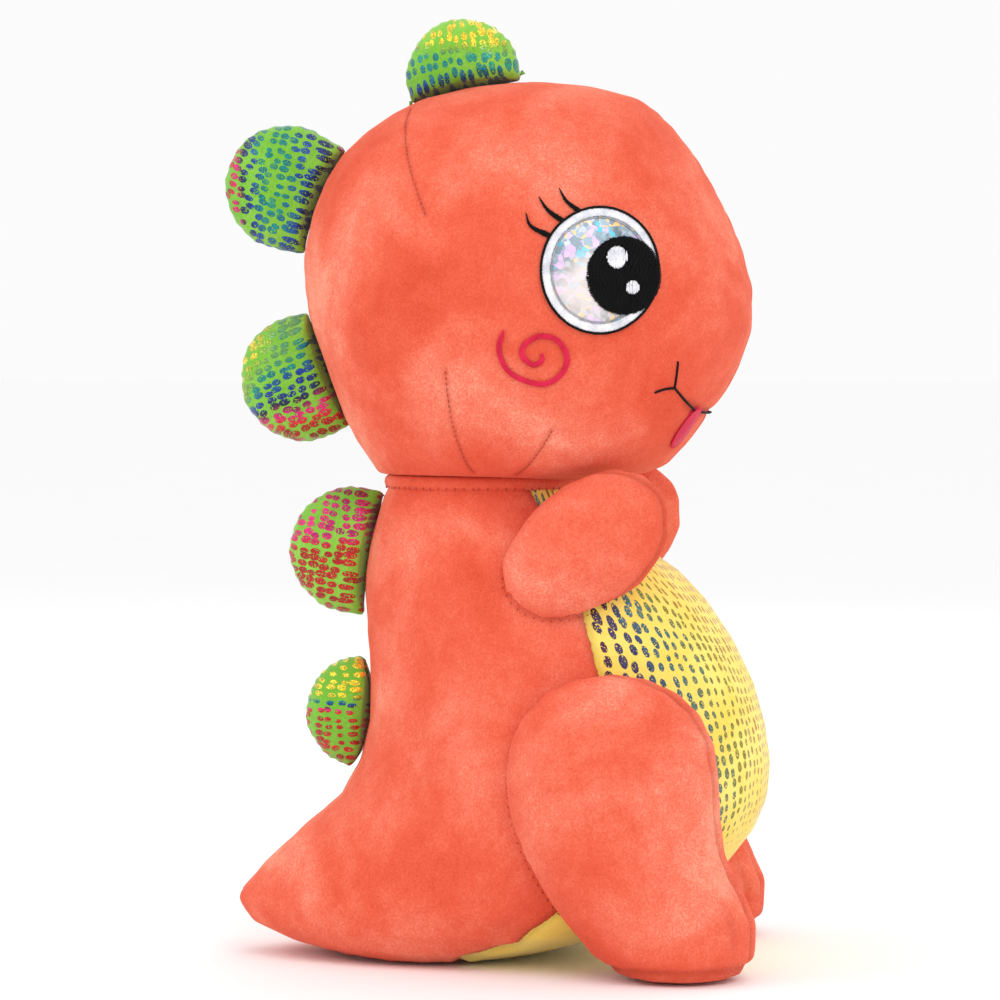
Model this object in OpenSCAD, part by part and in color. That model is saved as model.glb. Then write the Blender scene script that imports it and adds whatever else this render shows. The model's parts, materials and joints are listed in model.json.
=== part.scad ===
// A sitting plush dinosaur: coral pile skin, dotted foil belly, foil spikes,
// embroidered eyes. Each cut panel, filling, thread seam and felt piece is a
// node of its own. Millimetres, Z up, the nose points to -Y, the seat is at z = 0.

/* [Head] */
// height of the head from the neck seam to the crown
head_h = 149.5; // [120:0.5:185]
// length of the head from snout to nape
head_len = 169; // [140:1:205]
// width of the head across the cheeks
head_w = 151; // [120:1:185]
// how far the head's middle sits in front of the seat's origin
head_forward = 9.8; // [4:0.2:18]

/* [Torso] */
// height of the torso up to the neck opening
torso_h = 176; // [150:1:210]
// length of the torso from belly to back, without the tail
torso_len = 154; // [125:1:185]
// width of the torso across the hips
torso_w = 126; // [104:1:150]
// how far the tail reaches behind the back
tail_len = 50; // [30:1:65]
// how far the torso's middle sits in front of the seat's origin
torso_forward = 24; // [16:0.5:32]
// length of the coral seat disc under the hips
seat_len = 60; // [48:1:74]
// width of the coral seat disc
seat_w = 66; // [54:1:80]

/* [Neck] */
// radius of the round shoulder top that the head sits on
neck_r = 41; // [34:0.5:42]
// height of the shoulder ball's centre over the seat
neck_drop = 21.5; // [19:0.5:26]
// how far the neck sits behind the seat's origin
neck_back = 7; // [3:0.5:11]
// gap between shoulder ball and head socket
socket_gap = 0.9; // [0.6:0.1:1.4]
// thickness of the thread ring that closes the neck seam
neck_thread = 1.6; // [1.2:0.1:2.2]

/* [Arms] */
// length of an arm from shoulder to mitten tip
arm_len = 69; // [57:1:84]
// height of an arm across its broad side
arm_w = 46; // [38:1:55]
// thickness of an arm
arm_t = 27; // [22:1:33]
// how steeply an arm points up
arm_rise = 38; // [28:1:48]
// distance of an arm's middle from the body's middle plane
arm_x = 46.5; // [42:0.5:55]

/* [Legs] */
// height of a leg from sole to haunch
leg_h = 110.5; // [92:0.5:133]
// length of a leg from toes to haunch
leg_len = 89.5; // [75:0.5:108]
// thickness of a foot from side to side
leg_w = 54; // [45:1:65]
// distance of a foot's middle from the body's middle plane
leg_x = 62.5; // [57:0.5:74]
// how far a leg's middle sits in front of the seat's origin
leg_forward = 51.8; // [45:0.2:58]
// height of the sole seam over the floor
sole_h = 4.5; // [3:0.5:7]

/* [Fabric] */
// thickness of the pile fabric
skin = 2; // [1.4:0.1:2.6]
// room between a panel and the filling behind it
fill_gap = 0.2; // [0.1:0.05:0.4]
// room between a limb's inner side and the torso
limb_gap = 0.5; // [0.4:0.1:1]
// how proud a sewing thread or embroidered layer stands
thread = 0.9; // [0.6:0.1:1.3]
// room between two layers or pieces that lie on each other
layer_gap = 0.12; // [0.08:0.02:0.2]

/* [Face] */
// width of an eye with its outline
eye_w = 41.5; // [35:0.5:49]
// height of an eye with its outline
eye_h = 45.5; // [38:0.5:54]
// how far the eyes sit in front of the seat's origin
eye_forward = 40.6; // [34:0.2:46]
// height of the eyes over the neck seam
eye_up = 77.5; // [68:0.5:88]
// width of the black outline stitching
outline_w = 1; // [0.8:0.1:1.6]
// width of the satin rim inside the outline
rim_w = 2.4; // [2:0.1:3]
// width of the pupil
pupil_w = 24; // [20:0.5:29]
// height of the pupil
pupil_h = 26; // [22:0.5:31]
// diameter of the larger glint
glint_d = 7; // [5.5:0.5:8.5]
// diameter of the smaller glint
glint_small_d = 4.2; // [3.4:0.2:5]
// length of an eyelash
lash_len = 11.5; // [9:0.5:14]
// width of an eyelash at its root
lash_w = 2; // [1.6:0.1:2.6]
// size of the swirl stitched on a cheek
swirl_d = 22; // [18:0.5:27]
// width of the swirl's satin cord
swirl_cord = 2.1; // [1.6:0.1:2.6]
// width of the mouth's stitch line
mouth_w = 1.1; // [0.9:0.1:1.6]
// length of the felt tongue
tongue_len = 14.5; // [12:0.5:17.5]
// width of the felt tongue
tongue_w = 9.6; // [8:0.2:11.6]

/* [Spikes] */
// diameter of the crown spike
spike_1_d = 44; // [36:0.5:52]
// diameter of the nape spike
spike_2_d = 48; // [40:0.5:54]
// diameter of the neck spike
spike_3_d = 49; // [40:0.5:54]
// diameter of the shoulder spike
spike_4_d = 49; // [40:0.5:52]
// diameter of the back spike
spike_5_d = 43; // [36:0.5:50]
// thickness of a spike in its middle
spike_t = 25; // [20:0.5:30]
// thickness of the foil fabric of a spike
foil = 0.8; // [0.6:0.1:1.2]
// how far a spike tips to each side
spike_tilt = 12; // [6:1:14]

/* [Hidden] */
$fn = 48;

coral = [0.95, 0.38, 0.29];
yellow = [0.98, 0.88, 0.35];
green = [0.5, 0.74, 0.2];
white = [0.95, 0.95, 0.95];
black = [0.04, 0.04, 0.04];
silver = [0.7, 0.7, 0.7];
pink = [0.9, 0.25, 0.4];
wool = [0.97, 0.97, 0.94];

big = 900;
// the head's underside sits half a millimetre over the torso's top
head_z = torso_h + 0.5;
pivot_z = torso_h - neck_drop;

// ---- a rounded form lofted through rows ----
// Each row is [height, front y, back y, half width, taper], lowest first. The
// first and last rows are poles. The rows are joined by smooth curves.

function blend4(a, b, c, d, t) = 0.5 * (2 * b + (c - a) * t
  + (2 * a - 5 * b + 4 * c - d) * t * t + (3 * b - a - 3 * c + d) * t * t * t);
function past(r) = [r[0], r[2], r[1], -r[3], r[4]];
function row_at(rows, i) = i < 0 ? past(rows[1])
  : i >= len(rows) ? past(rows[len(rows) - 2]) : rows[i];
function at(rows, s) = let (i = min(floor(s), len(rows) - 2))
  blend4(row_at(rows, i - 1), rows[i], rows[i + 1], row_at(rows, i + 2), s - i);
function on_ring(q, a) = [
  q[3] * sin(a) * (1 + q[4] * cos(a)),
  (q[1] + q[2]) / 2 + (q[2] - q[1]) / 2 * cos(a),
  max(q[0], 0)];
// points that belong on the middle plane lie exactly on it
function on_middle(p) = [abs(p[0]) < 0.0001 ? 0 : p[0], p[1], p[2]];
function unit(v) = v / max(norm(v), 0.000001);

// the form's skin moved outward by d along its own normals
module pod(rows, around, rings, d = 0) {
  last = len(rows) - 1;
  grid = [for (j = [0:rings]) let (q = at(rows, j * last / rings))
    [for (i = [0:around - 1]) on_ring(q, i * 360 / around)]];
  moved = [for (j = [1:rings - 1]) for (i = [0:around - 1]) let (
      along = grid[j + 1][i] - grid[j - 1][i],
      across = grid[j][(i + 1) % around] - grid[j][(i + around - 1) % around])
    on_middle(grid[j][i] + d * unit(cross(along, across)))];
  low = grid[0][0] - [0, 0, d];
  high = grid[rings][0] + [0, 0, d];
  points = concat([low], moved, [high]);
  top = len(points) - 1;
  faces = concat(
    [for (i = [0:around - 1]) [0, 1 + (i + 1) % around, 1 + i]],
    [for (j = [0:rings - 3]) for (i = [0:around - 1]) let (
        a = 1 + j * around + i, b = 1 + j * around + (i + 1) % around)
      each [[a, b, b + around], [a, b + around, a + around]]],
    [for (i = [0:around - 1]) let (a = 1 + (rings - 2) * around)
      [top, a + i, a + (i + 1) % around]]);
  polyhedron(points, faces, convexity = 6);
}

// everything on one side of the middle plane: -1 is the right side, 1 the left
module side(s) {
  translate([s > 0 ? 0 : -big, -big / 2, -big / 2]) cube(big);
}
module above(z) {
  translate([-big / 2, -big / 2, z]) cube(big);
}
module below(z) {
  translate([-big / 2, -big / 2, z - big]) cube(big);
}
// a drawing in the side view, pushed across one side of the body or across both
module across_side(s) {
  rotate([90, 0, 90])
    translate([0, 0, s == 0 ? -big / 2 : s < 0 ? -big / 2 : 4])
      linear_extrude(s == 0 ? big : big / 2 - 4) children();
}
// no size change: the rounded forms are joined as one triangle mesh
module as_mesh() {
  resize([0, 0, 0]) children();
}

// ---- head ----
head_rows = [for (r = [
    [0, -0.01, -0.01, 0], [0.013, -0.229, 0.303, 0.47],
    [0.054, -0.322, 0.353, 0.68], [0.154, -0.391, 0.407, 0.86],
    [0.254, -0.455, 0.439, 0.94], [0.405, -0.5, 0.486, 1],
    [0.559, -0.481, 0.5, 0.99], [0.706, -0.424, 0.468, 0.91],
    [0.819, -0.365, 0.41, 0.79], [0.906, -0.299, 0.315, 0.63],
    [0.963, -0.223, 0.205, 0.42], [1, -0.01, -0.01, 0]])
  [head_z + head_h * r[0], -head_forward + head_len * r[1],
    -head_forward + head_len * r[2], head_w / 2 * r[3], 0]];

module head_form(d) {
  pod(head_rows, 24, 18, d);
}
// the ball-shaped hollow that lets the head sit and nod on the shoulders
module head_socket(d) {
  translate([0, neck_back, pivot_z]) sphere(neck_r + socket_gap + d, $fn = 32);
}
module head_shell() {
  difference() {
    head_form(0);
    head_form(-skin);
    head_socket(0);
  }
}
module head_right_panel() color(coral) as_mesh() intersection() {
  head_shell();
  side(-1);
}
module head_left_panel() color(coral) as_mesh() intersection() {
  head_shell();
  side(1);
}
module head_filling() color(wool) as_mesh() difference() {
  head_form(-skin - fill_gap);
  head_socket(fill_gap);
}

// ---- embroidered and felt pieces on the head ----
// a layer that lies on the head's skin from height a to height b over it
module head_layer(a, b) {
  difference() {
    head_form(b);
    head_form(a);
  }
}
module oval(w, h) {
  scale([w, h]) circle(d = 1, $fn = 28);
}
eye_y = -eye_forward;
eye_z = head_z + eye_up;
// the pupil sits low and forward and touches the rim
pupil_y = eye_y - 8.2;
pupil_z = eye_z - 2;

module eye_outline(s) {
  intersection() {
    head_layer(layer_gap, thread);
    across_side(s) translate([eye_y, eye_z]) difference() {
      oval(eye_w, eye_h);
      oval(eye_w - 2 * outline_w, eye_h - 2 * outline_w);
    }
  }
}
inner_w = eye_w - 2 * outline_w - 2 * layer_gap;
inner_h = eye_h - 2 * outline_w - 2 * layer_gap;
module eye_rim(s) {
  intersection() {
    head_layer(layer_gap, thread + 0.2);
    across_side(s) translate([eye_y, eye_z]) difference() {
      oval(inner_w, inner_h);
      oval(inner_w - 2 * rim_w, inner_h - 2 * rim_w);
    }
  }
}
foil_w = inner_w - 2 * rim_w - 2 * layer_gap;
foil_h = inner_h - 2 * rim_w - 2 * layer_gap;
module eye_foil(s) {
  intersection() {
    head_layer(layer_gap, 0.6);
    across_side(s) translate([eye_y, eye_z]) oval(foil_w, foil_h);
  }
}
// the pupil lies over the foil and the rim
module eye_pupil(s) {
  low = thread + 0.2 + layer_gap;
  intersection() {
    head_layer(low, low + 0.7);
    across_side(s) translate([pupil_y, pupil_z]) oval(pupil_w, pupil_h);
  }
}
module eye_glints(s) {
  low = thread + 0.9 + 2 * layer_gap;
  intersection() {
    head_layer(low, low + 0.5);
    across_side(s) {
      translate([pupil_y + 2.4, pupil_z + 6.2]) circle(d = glint_d, $fn = 20);
      translate([pupil_y - 2.8, pupil_z - 3.9]) circle(d = glint_small_d, $fn = 16);
    }
  }
}
// one lash: a tapered stroke from the outline at angle a, bent up and back
module lash(a) {
  root = [cos(a) * (eye_w / 2 + 1.4), sin(a) * (eye_h / 2 + 1.4)];
  bend = [cos(52), sin(52)] * lash_len * 0.5;
  tip = [cos(45), sin(45)] * lash_len;
  hull() {
    translate(root) circle(d = lash_w, $fn = 10);
    translate(root + bend) circle(d = lash_w * 0.72, $fn = 10);
  }
  hull() {
    translate(root + bend) circle(d = lash_w * 0.72, $fn = 10);
    translate(root + tip) circle(d = lash_w * 0.3, $fn = 6);
  }
}
module eyelashes(s) {
  intersection() {
    head_layer(layer_gap, thread);
    across_side(s) translate([eye_y, eye_z]) {
      lash(32);
      lash(52);
      lash(72);
    }
  }
}
// the swirl winds inward in a little over one and a half turns
module swirl_line() {
  turns = [for (k = [0:20]) let (a = 38 - k * 30, r = swirl_d * (0.6 - 0.025 * k))
    [r * cos(a), r * 0.9 * sin(a)]];
  for (k = [0:19]) hull() {
    translate(turns[k]) circle(d = swirl_cord, $fn = 8);
    translate(turns[k + 1]) circle(d = swirl_cord, $fn = 8);
  }
}
module cheek_swirl(s) {
  intersection() {
    head_layer(layer_gap, thread + 0.3);
    across_side(s) translate([eye_y + 22, eye_z - 30.5]) swirl_line();
  }
}
module right_eye_outline() color(black) as_mesh() eye_outline(-1);
module left_eye_outline() color(black) as_mesh() eye_outline(1);
module right_eye_rim() color(white) as_mesh() eye_rim(-1);
module left_eye_rim() color(white) as_mesh() eye_rim(1);
module right_eye_foil() color(silver) as_mesh() eye_foil(-1);
module left_eye_foil() color(silver) as_mesh() eye_foil(1);
module right_eye_pupil() color(black) as_mesh() eye_pupil(-1);
module left_eye_pupil() color(black) as_mesh() eye_pupil(1);
module right_eye_glints() color(white) as_mesh() eye_glints(-1);
module left_eye_glints() color(white) as_mesh() eye_glints(1);
module right_eyelashes() color(black) as_mesh() eyelashes(-1);
module left_eyelashes() color(black) as_mesh() eyelashes(1);
module right_cheek_swirl() color(pink) as_mesh() cheek_swirl(-1);
module left_cheek_swirl() color(pink) as_mesh() cheek_swirl(1);

// the smile goes round the snout, with a short tick at each corner
corner_y = -head_forward - head_len * 0.335;
corner_z = head_z + head_h * 0.237;
module stroke(a, b, w) {
  hull() {
    translate(a) circle(d = w, $fn = 8);
    translate(b) circle(d = w, $fn = 8);
  }
}
module mouth_line() {
  corner = [corner_y, corner_z];
  low = [corner_y - 7, corner_z - 8.8];
  front = [corner_y - 40, corner_z - 11];
  stroke(corner, low, mouth_w);
  stroke(low, front, mouth_w);
  stroke(corner, [corner_y - 1.5, corner_z + 9], mouth_w);
  stroke(corner, [corner_y + 6, corner_z - 1], mouth_w);
}
module mouth_stitching() color(black) as_mesh() intersection() {
  head_layer(layer_gap, thread);
  across_side(0) mouth_line();
}
// the tongue pokes out on the right side of the mouth and lies on the chin
module tongue_cut() {
  translate([0, -head_forward, corner_z - 14.6]) rotate([90, 0, -21])
    linear_extrude(head_len * 0.6) oval(tongue_w, tongue_len);
}
module tongue() color(pink) as_mesh() intersection() {
  head_layer(thread + layer_gap, thread + 1.3);
  tongue_cut();
}

// ---- neck ----
// a thread ring lies round the shoulder ball, just under the head's edge
ring_r = neck_r + 0.4 + neck_thread / 2;
ring_z = torso_h - 0.2 - neck_thread / 2;
module neck_seam_thread() color(coral) translate([0, neck_back, 0])
  rotate_extrude($fn = 64)
    translate([sqrt(pow(ring_r, 2) - pow(ring_z - pivot_z, 2)), ring_z])
      circle(d = neck_thread, $fn = 16);

// ---- torso ----
// front, back, the tail's share, half width and taper, as shares of the torso;
// the rows over them follow the shoulder ball
torso_rows = concat([for (r = [
    [0, 0.32, 0.32, 0, 0, 0], [0, 0.117, 0.5, 0.02, 0.54, 0],
    [0.04, -0.091, 0.46, 0.76, 0.79, -0.15], [0.114, -0.286, 0.487, 1, 0.94, -0.32],
    [0.239, -0.435, 0.494, 0.58, 1, -0.26], [0.352, -0.494, 0.49, 0.15, 1, -0.1],
    [0.483, -0.487, 0.484, 0, 0.94, 0], [0.625, -0.435, 0.481, 0, 0.86, 0],
    [0.767, -0.331, 0.492, 0, 0.76, 0], [0.852, -0.22, 0.484, 0, 0.68, 0]])
  [torso_h * r[0], -torso_forward + torso_len * r[1],
    -torso_forward + torso_len * r[2] + tail_len * r[3], torso_w / 2 * r[4], r[5]]],
  [for (a = [10, 24, 38, 55, 90])
    [pivot_z + neck_r * sin(a), neck_back - neck_r * cos(a),
      neck_back + neck_r * cos(a), neck_r * cos(a), 0]]);

module torso_form(d) {
  pod(torso_rows, 28, 23, d);
}
module torso_shell() {
  difference() {
    torso_form(0);
    torso_form(-skin);
  }
}
// the belly's cut in the side view: all in front of this line is foil fabric
module belly_cut() {
  across_side(0) polygon([
    [-torso_len, -10], [12, -10], [12, 3],
    [-torso_len * 0.065, torso_h * 0.056], [-torso_len * 0.29, torso_h * 0.22],
    [-torso_len * 0.312, torso_h * 0.45], [-torso_len * 0.247, torso_h * 0.65],
    [-torso_len * 0.182, torso_h * 0.852], [-torso_len * 0.065, torso_h * 1.02],
    [-torso_len * 0.065, torso_h * 1.3], [-torso_len, torso_h * 1.3]]);
}
// the seat's cut from above: a rounded disc under the hips
module seat_cut() {
  translate([0, seat_len / 2 - 1, -1]) scale([seat_w / 2, seat_len / 2, 1])
    cylinder(r = 1, h = 9, $fn = 28);
}
module torso_panel(s) {
  intersection() {
    difference() {
      torso_shell();
      belly_cut();
      seat_cut();
    }
    side(s);
  }
}
module torso_right_panel() color(coral) as_mesh() torso_panel(-1);
module torso_left_panel() color(coral) as_mesh() torso_panel(1);
module belly_panel() color(yellow) as_mesh() intersection() {
  difference() {
    torso_shell();
    seat_cut();
  }
  belly_cut();
}
module seat_panel() color(coral) as_mesh() intersection() {
  torso_shell();
  seat_cut();
}
module torso_filling() color(wool) as_mesh() {
  torso_form(-skin - fill_gap);
}

// ---- arms: everything is drawn for the right side and mirrored ----
arm_rows = [for (r = [
    [0, 0, 0], [0.09, 0.3, 0.6], [0.33, 0.455, 0.96], [0.62, 0.5, 1],
    [0.88, 0.34, 0.7], [1, 0, 0]])
  [arm_len * r[0], -arm_w * r[1], arm_w * r[1], arm_t / 2 * r[2], 0]];
arm_y = -torso_forward - 10.5;
arm_z = torso_h * 0.878;
module arm_place() {
  translate([-arm_x, arm_y, arm_z]) rotate([90 - arm_rise, 0, 0])
    translate([0, 0, -arm_len / 2]) children();
}
module arm_pod(d) {
  arm_place() pod(arm_rows, 16, 10, d);
}
module arm_form(d) {
  difference() {
    arm_pod(d);
    torso_form(limb_gap - d);
  }
}
module arm_shell() {
  difference() {
    arm_form(0);
    arm_form(-skin);
  }
}
// s = -1 keeps the outer side of the limb's middle seam, s = 1 the inner side
module limb_side(x, s) {
  translate([-x, 0, 0]) side(s);
}
module arm_panel(s) {
  intersection() {
    arm_shell();
    limb_side(arm_x, s);
  }
}
module limb_seam(low, high) {
  difference() {
    torso_form(high);
    torso_form(low);
  }
}
module arm_thread() {
  intersection() {
    difference() {
      arm_pod(0.6 + thread);
      arm_pod(0.6);
    }
    limb_seam(layer_gap, thread);
  }
}
module mirrored() {
  mirror([1, 0, 0]) children();
}
module right_arm_outer_panel() color(coral) as_mesh() arm_panel(-1);
module right_arm_inner_panel() color(coral) as_mesh() arm_panel(1);
module right_arm_filling() color(wool) as_mesh() arm_form(-skin - fill_gap);
module right_arm_seam_thread() color(coral) as_mesh() arm_thread();
module left_arm_outer_panel() color(coral) as_mesh() mirrored() arm_panel(-1);
module left_arm_inner_panel() color(coral) as_mesh() mirrored() arm_panel(1);
module left_arm_filling() color(wool) as_mesh() mirrored() arm_form(-skin - fill_gap);
module left_arm_seam_thread() color(coral) as_mesh() mirrored() arm_thread();

// ---- legs ----
leg_rows = [for (r = [
    [0, -0.2, -0.2, 0], [0, -0.404, 0, 0.71], [0.07, -0.5, 0.149, 0.96],
    [0.223, -0.5, 0.309, 1], [0.375, -0.394, 0.426, 0.95],
    [0.554, -0.362, 0.5, 0.89], [0.732, -0.351, 0.5, 0.79],
    [0.866, -0.277, 0.426, 0.57], [0.955, -0.138, 0.287, 0.32],
    [1, 0.085, 0.085, 0]])
  [leg_h * r[0], -leg_forward + leg_len * r[1], -leg_forward + leg_len * r[2],
    leg_w / 2 * r[3], 0]];
module leg_pod(d) {
  translate([-leg_x, 0, 0]) pod(leg_rows, 18, 13, d);
}
module leg_form(d) {
  difference() {
    leg_pod(d);
    torso_form(limb_gap - d);
  }
}
module leg_shell() {
  difference() {
    leg_form(0);
    leg_form(-skin);
  }
}
module leg_panel(s) {
  intersection() {
    leg_shell();
    limb_side(leg_x, s);
    above(sole_h);
  }
}
module leg_sole() {
  intersection() {
    leg_shell();
    below(sole_h);
  }
}
module leg_thread() {
  intersection() {
    difference() {
      leg_pod(0.6 + thread);
      leg_pod(0.6);
    }
    limb_seam(layer_gap, thread);
  }
}
module right_leg_outer_panel() color(coral) as_mesh() leg_panel(-1);
module right_leg_inner_panel() color(coral) as_mesh() leg_panel(1);
module right_leg_sole() color(coral) as_mesh() leg_sole();
module right_leg_filling() color(wool) as_mesh() leg_form(-skin - fill_gap);
module right_leg_seam_thread() color(coral) as_mesh() leg_thread();
module left_leg_outer_panel() color(coral) as_mesh() mirrored() leg_panel(-1);
module left_leg_inner_panel() color(coral) as_mesh() mirrored() leg_panel(1);
module left_leg_sole() color(coral) as_mesh() mirrored() leg_sole();
module left_leg_filling() color(wool) as_mesh() mirrored() leg_form(-skin - fill_gap);
module left_leg_seam_thread() color(coral) as_mesh() mirrored() leg_thread();

// ---- spikes ----
// Each spike is two foil discs sewn at the rim over a filling. Its root lies on
// the middle seam, and the two halves are cut away under it so that it can tip.
// Rows: diameter, the form it sits on, the place along that form's back seam,
// how far its centre sits over its root, and how hollow the back is there, in degrees.
spikes = [
  [spike_1_d, head_rows, 10.35, 4.5, 0], [spike_2_d, head_rows, 7, 12, 0],
  [spike_3_d, head_rows, 4.2, 9, 3], [spike_4_d, torso_rows, 9, 5.5, 0],
  [spike_5_d, torso_rows, 6.2, 3, 11]];
// a place on the back seam, as y and z
function on_back(rows, s) = let (q = at(rows, s)) [q[2], q[0]];
// how far the seam's outward direction leans back from straight up
function lean(rows, s) = let (t = on_back(rows, s + 0.06) - on_back(rows, s - 0.06))
  -atan2(t[1], -t[0]);

module spike_place(k) {
  q = on_back(spikes[k][1], spikes[k][2]);
  translate([0, q[0], q[1]]) rotate([lean(spikes[k][1], spikes[k][2]), 0, 0])
    children();
}
// a lens about the X axis, its root at the origin, leaning along +Z
module lens(k, d) {
  r = spikes[k][0] / 2 + d;
  h = spike_t / 2 + d;
  translate([0, 0, spikes[k][3]]) rotate([0, 90, 0])
    rotate_extrude($fn = 96) polygon(concat([[0, -h]],
      [for (a = [-80:10:80]) [r * pow(cos(a), 0.9), h * sin(a)]], [[0, h]]));
}
// the room over the skin that is left when the spike tips to either side
module spike_room(lift) {
  for (s = [-1, 1]) rotate([0, s * (spike_tilt + 1.5), 0])
    translate([s > 0 ? -big / 2 : -0.01, -big / 2, lift])
      cube([big / 2 + 0.01, big, big / 2]);
}
// where the back runs hollow, both ends of the base rise by this many degrees
module hollow_room(k) {
  for (s = [-1, 1]) rotate([s * spikes[k][4], 0, 0])
    translate([-big / 2, s > 0 ? -0.01 : -big / 2, 0.3])
      cube([big, big / 2 + 0.01, big / 2]);
}
module spike_half(k, s) {
  spike_place(k) intersection() {
    difference() {
      lens(k, 0);
      lens(k, -foil);
    }
    side(s);
    spike_room(0.5);
    hollow_room(k);
  }
}
module spike_fill(k) {
  spike_place(k) intersection() {
    lens(k, -foil - fill_gap);
    spike_room(0.9);
    hollow_room(k);
  }
}
module spike_1_right_half() color(green) spike_half(0, -1);
module spike_1_left_half() color(green) spike_half(0, 1);
module spike_1_filling() color(wool) spike_fill(0);
module spike_2_right_half() color(green) spike_half(1, -1);
module spike_2_left_half() color(green) spike_half(1, 1);
module spike_2_filling() color(wool) spike_fill(1);
module spike_3_right_half() color(green) spike_half(2, -1);
module spike_3_left_half() color(green) spike_half(2, 1);
module spike_3_filling() color(wool) spike_fill(2);
module spike_4_right_half() color(green) spike_half(3, -1);
module spike_4_left_half() color(green) spike_half(3, 1);
module spike_4_filling() color(wool) spike_fill(3);
module spike_5_right_half() color(green) spike_half(4, -1);
module spike_5_left_half() color(green) spike_half(4, 1);
module spike_5_filling() color(wool) spike_fill(4);

head_right_panel();
head_left_panel();
head_filling();
right_eye_outline();
right_eye_rim();
right_eye_foil();
right_eye_pupil();
right_eye_glints();
right_eyelashes();
left_eye_outline();
left_eye_rim();
left_eye_foil();
left_eye_pupil();
left_eye_glints();
left_eyelashes();
right_cheek_swirl();
left_cheek_swirl();
mouth_stitching();
tongue();
neck_seam_thread();
torso_right_panel();
torso_left_panel();
belly_panel();
seat_panel();
torso_filling();
right_arm_outer_panel();
right_arm_inner_panel();
right_arm_filling();
right_arm_seam_thread();
left_arm_outer_panel();
left_arm_inner_panel();
left_arm_filling();
left_arm_seam_thread();
right_leg_outer_panel();
right_leg_inner_panel();
right_leg_sole();
right_leg_filling();
right_leg_seam_thread();
left_leg_outer_panel();
left_leg_inner_panel();
left_leg_sole();
left_leg_filling();
left_leg_seam_thread();
spike_1_right_half();
spike_1_left_half();
spike_1_filling();
spike_2_right_half();
spike_2_left_half();
spike_2_filling();
spike_3_right_half();
spike_3_left_half();
spike_3_filling();
spike_4_right_half();
spike_4_left_half();
spike_4_filling();
spike_5_right_half();
spike_5_left_half();
spike_5_filling();
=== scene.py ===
import json
import math
import bmesh
import bpy
import numpy as np
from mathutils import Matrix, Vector
from mathutils.bvhtree import BVHTree

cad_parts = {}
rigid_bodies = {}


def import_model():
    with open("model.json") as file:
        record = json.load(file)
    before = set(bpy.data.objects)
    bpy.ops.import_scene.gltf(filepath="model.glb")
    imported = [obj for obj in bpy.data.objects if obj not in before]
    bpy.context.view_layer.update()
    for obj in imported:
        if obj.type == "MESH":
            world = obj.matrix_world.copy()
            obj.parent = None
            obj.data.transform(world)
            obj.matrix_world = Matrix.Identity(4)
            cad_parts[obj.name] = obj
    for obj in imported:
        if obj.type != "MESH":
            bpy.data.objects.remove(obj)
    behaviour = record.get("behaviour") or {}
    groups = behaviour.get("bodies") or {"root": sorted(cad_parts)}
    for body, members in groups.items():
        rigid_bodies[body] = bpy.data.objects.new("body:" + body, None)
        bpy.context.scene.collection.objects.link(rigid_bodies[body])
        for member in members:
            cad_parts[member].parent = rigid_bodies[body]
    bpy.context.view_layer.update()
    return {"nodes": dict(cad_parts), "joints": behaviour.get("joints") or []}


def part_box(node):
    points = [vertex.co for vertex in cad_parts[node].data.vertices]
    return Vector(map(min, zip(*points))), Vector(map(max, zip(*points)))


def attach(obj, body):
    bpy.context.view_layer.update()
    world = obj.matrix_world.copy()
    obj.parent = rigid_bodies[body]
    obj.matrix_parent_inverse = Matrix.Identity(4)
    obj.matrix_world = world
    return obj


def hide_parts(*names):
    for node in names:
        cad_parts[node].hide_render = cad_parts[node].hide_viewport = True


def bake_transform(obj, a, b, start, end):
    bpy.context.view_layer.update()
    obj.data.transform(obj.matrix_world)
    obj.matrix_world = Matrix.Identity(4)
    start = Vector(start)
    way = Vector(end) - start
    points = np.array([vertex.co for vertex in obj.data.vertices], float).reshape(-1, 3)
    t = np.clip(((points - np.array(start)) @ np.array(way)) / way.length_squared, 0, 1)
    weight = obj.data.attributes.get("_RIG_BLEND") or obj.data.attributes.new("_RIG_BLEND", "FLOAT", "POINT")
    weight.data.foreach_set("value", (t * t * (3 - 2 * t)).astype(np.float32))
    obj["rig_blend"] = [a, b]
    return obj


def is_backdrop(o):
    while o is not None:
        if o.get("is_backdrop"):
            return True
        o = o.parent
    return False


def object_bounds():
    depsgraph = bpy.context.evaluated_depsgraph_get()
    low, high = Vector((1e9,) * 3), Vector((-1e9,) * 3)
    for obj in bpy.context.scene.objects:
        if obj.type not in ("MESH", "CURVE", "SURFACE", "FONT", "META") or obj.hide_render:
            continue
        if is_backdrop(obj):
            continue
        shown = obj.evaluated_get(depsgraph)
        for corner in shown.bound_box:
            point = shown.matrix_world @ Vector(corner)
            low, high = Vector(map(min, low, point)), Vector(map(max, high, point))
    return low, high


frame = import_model()
scene = bpy.context.scene

# ---------------------------------------------------------------- camera, table top and studio light
# The toy sits on a plain pale table and is seen almost square on to its right side, a little in front of it.
# Two large soft boxes and an even white surround light it, as in a small product studio.
view_turn, view_rise = math.radians(-85), math.radians(2)
view_back = Vector((math.sin(view_turn) * math.cos(view_rise), -math.cos(view_turn) * math.cos(view_rise),
                    math.sin(view_rise)))
view_right = Vector((math.cos(view_turn), math.sin(view_turn), 0))
view_up = view_back.cross(view_right)
view_point = view_right * -0.00075 + view_up * 0.1695
camera = bpy.data.objects.new("Camera", bpy.data.cameras.new("Camera"))
camera.data.lens = 153.6
camera.data.sensor_width = 36
camera.data.clip_start, camera.data.clip_end = 0.05, 200
camera.location = view_point + view_back * 1.6
camera.rotation_mode = "QUATERNION"
camera.rotation_quaternion = (-view_back).to_track_quat("-Z", "Y")
scene.collection.objects.link(camera)
scene.camera = camera


toy_middle = Vector((0, 0, 0.17))


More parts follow.
